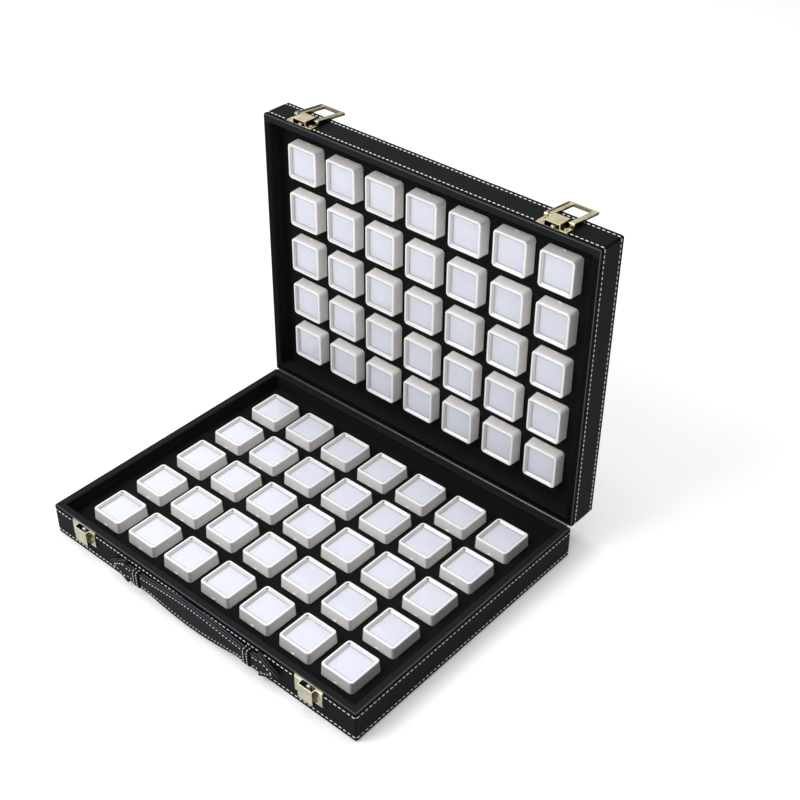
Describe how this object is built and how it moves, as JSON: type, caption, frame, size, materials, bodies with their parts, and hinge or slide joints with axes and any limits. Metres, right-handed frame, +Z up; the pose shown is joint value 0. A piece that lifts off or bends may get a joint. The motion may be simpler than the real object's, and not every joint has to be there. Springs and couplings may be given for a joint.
{
  "type": "jewelry storage box",
  "caption": "Hinged leather-covered case whose base and lid hold white square gem boxes in black pads, with metal hasp latches and a strap handle on the front.",
  "frame": {"origin": "centre of the base's flat underside", "axes": "+X along the hinge to the right seen from the front, -Y towards the latches and handle, +Y towards the hinge, +Z up; the case is open at rest"},
  "size_m": [0.3114, 0.2874, 0.2684],
  "materials": {
    "board": "plain board under the covering",
    "leather": "black grained leatherette",
    "pad_foam": "black closed-cell foam",
    "pad_cover": "black flocked sheet",
    "box_plastic": "smooth white",
    "box_foam": "white soft foam",
    "box_window": "clear plastic pane",
    "latch_metal": "polished pale gold plating",
    "hinge_metal": "black enamel",
    "steel": "plain steel",
    "thread": "off-white sewing thread"
  },
  "bodies": {
    "base": {"base_front_board": "board", "base_back_board": "board", "base_left_board": "board", "base_right_board": "board", "base_panel": "board", "base_side_leather": "leather", "base_face_leather": "leather", "base_foam": "pad_foam", "base_pad_cover": "pad_cover", "base_box_cups": "box_plastic", "base_box_cushions": "box_foam", "base_box_lids": "box_plastic", "base_box_windows": "box_window", "keeper_plate_left": "latch_metal", "keeper_plate_right": "latch_metal", "keeper_bridge_left": "latch_metal", "keeper_bridge_right": "latch_metal", "keeper_rivets": "latch_metal", "handle_loop_left": "leather", "handle_loop_right": "leather", "hinge_base_leaf": "hinge_metal", "hinge_base_screws": "steel", "hinge_pin": "steel"},
    "lid": {"lid_front_board": "board", "lid_back_board": "board", "lid_left_board": "board", "lid_right_board": "board", "lid_panel": "board", "lid_side_leather": "leather", "lid_face_leather": "leather", "lid_foam": "pad_foam", "lid_pad_cover": "pad_cover", "lid_box_cups": "box_plastic", "lid_box_cushions": "box_foam", "lid_box_lids": "box_plastic", "lid_box_windows": "box_window", "latch_plate_left": "latch_metal", "latch_plate_right": "latch_metal", "latch_bridge_left": "latch_metal", "latch_bridge_right": "latch_metal", "latch_rivets": "latch_metal", "hasp_pin_left": "steel", "hasp_pin_right": "steel", "hinge_lid_leaf": "hinge_metal", "hinge_lid_screws": "steel"},
    "hasp_left": {"hasp_left": "latch_metal"},
    "hasp_right": {"hasp_right": "latch_metal"},
    "handle": {"handle_strap": "leather"},
    "tray_box": {"base_sample_cup": "box_plastic", "base_sample_cushion": "box_foam"},
    "tray_box_lid": {"base_sample_lid": "box_plastic", "base_sample_window": "box_window"},
    "lid_box": {"lid_sample_cup": "box_plastic", "lid_sample_cushion": "box_foam"},
    "lid_box_lid": {"lid_sample_lid": "box_plastic", "lid_sample_window": "box_window"}
  },
  "joints": [
    {"name": "lid_hinge", "type": "hinge", "parent": "base", "child": "lid", "pos_m": [0, 0.1185, 0.027], "axis": [-1, 0, 0], "range_deg": [-90.8, 0]},
    {"name": "hasp_left_hinge", "type": "hinge", "parent": "lid", "child": "hasp_left", "pos_m": [-0.1195, 0.13355, 0.26651], "axis": [-1, 0, 0], "range_deg": [-186, 0]},
    {"name": "hasp_right_hinge", "type": "hinge", "parent": "lid", "child": "hasp_right", "pos_m": [0.114, 0.13355, 0.26651], "axis": [-1, 0, 0], "range_deg": [-186, 0]},
    {"name": "handle_slide", "type": "slide", "parent": "base", "child": "handle", "axis": [1, 0, 0], "range_m": [-0.006, 0.006]},
    {"name": "tray_box_lift", "type": "slide", "parent": "base", "child": "tray_box", "axis": [0, 0, 1], "range_m": [0, 0.03]},
    {"name": "tray_box_lid_lift", "type": "slide", "parent": "tray_box", "child": "tray_box_lid", "axis": [0, 0, 1], "range_m": [0, 0.02]},
    {"name": "lid_box_pull", "type": "slide", "parent": "lid", "child": "lid_box", "axis": [0, -0.9999, 0.014], "range_m": [0, 0.03]},
    {"name": "lid_box_lid_pull", "type": "slide", "parent": "lid_box", "child": "lid_box_lid", "axis": [0, -0.9999, 0.014], "range_m": [0, 0.02]}
  ]
}
